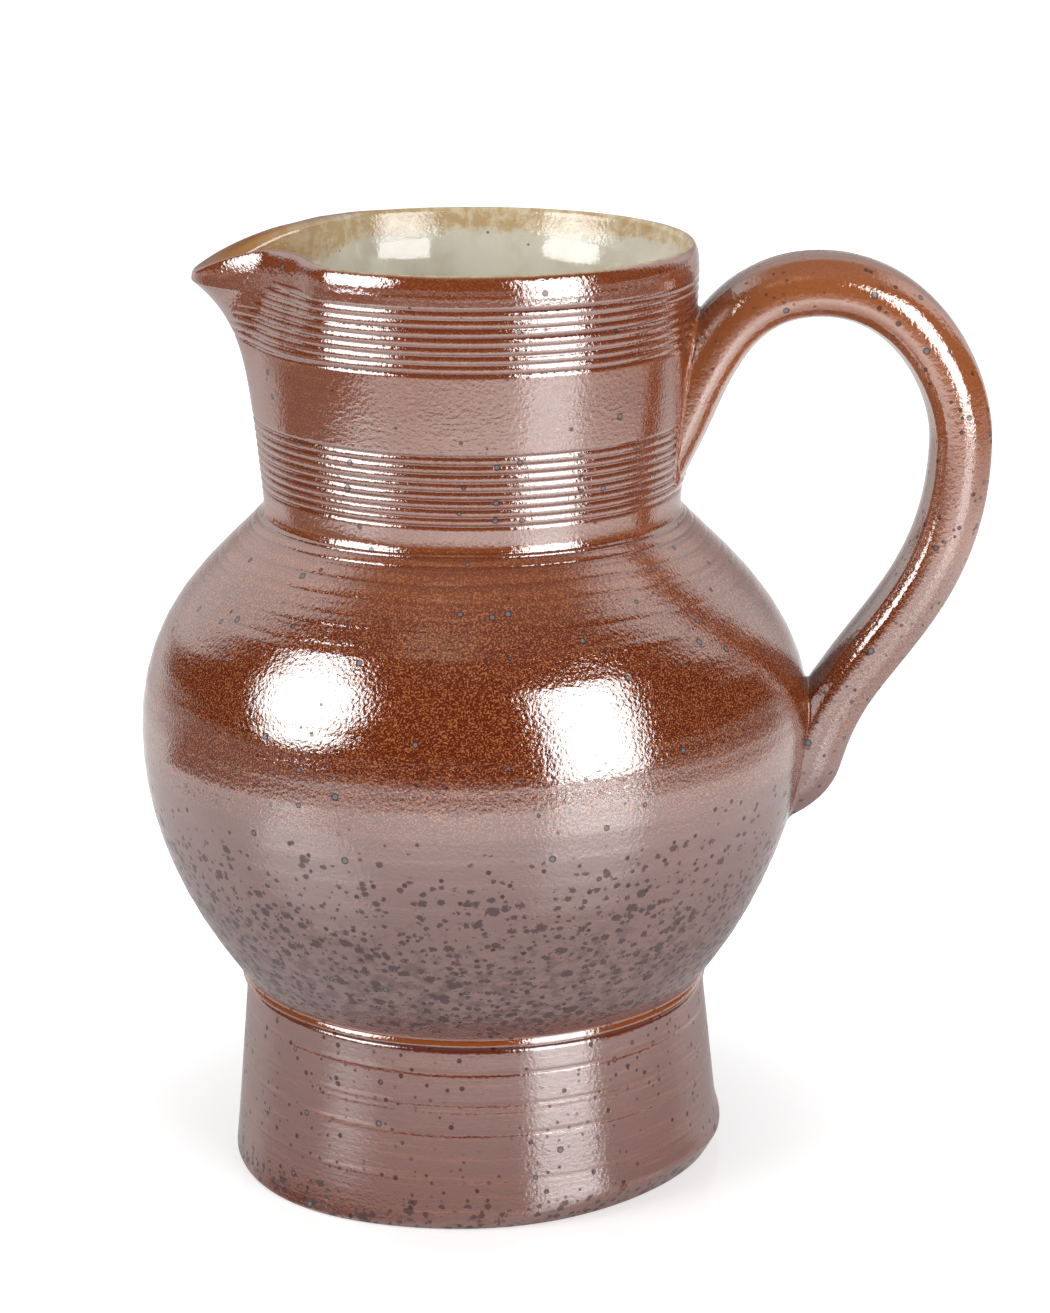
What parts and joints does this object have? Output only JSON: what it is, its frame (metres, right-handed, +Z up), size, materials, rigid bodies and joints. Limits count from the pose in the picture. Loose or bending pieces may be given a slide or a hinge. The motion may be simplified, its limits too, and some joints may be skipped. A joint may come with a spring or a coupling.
{
  "type": "water pitcher",
  "caption": "Stoneware water jug with a tall foot, round belly, grooved collar neck, pulled spout and strap handle, salt-glazed outside and pale-lined inside.",
  "frame": {"origin": "middle of the base, on the surface that the jug stands on", "axes": "+Z up the axis of the jug, +X towards the handle, -X towards the spout"},
  "size_m": [0.1985, 0.1564, 0.22],
  "materials": {
    "salt_glaze": "glossy red-brown salt glaze with fine orange peel and dark specks",
    "liner_glaze": "glossy pale grey-green liner glaze with fine specks"
  },
  "bodies": {
    "root": {"foot": "salt_glaze", "belly": "salt_glaze", "neck": "salt_glaze", "spout": "salt_glaze", "handle": "salt_glaze", "upper_handle_lute": "salt_glaze", "lower_handle_lute": "salt_glaze", "glaze_lining": "liner_glaze"}
  },
  "joints": []
}
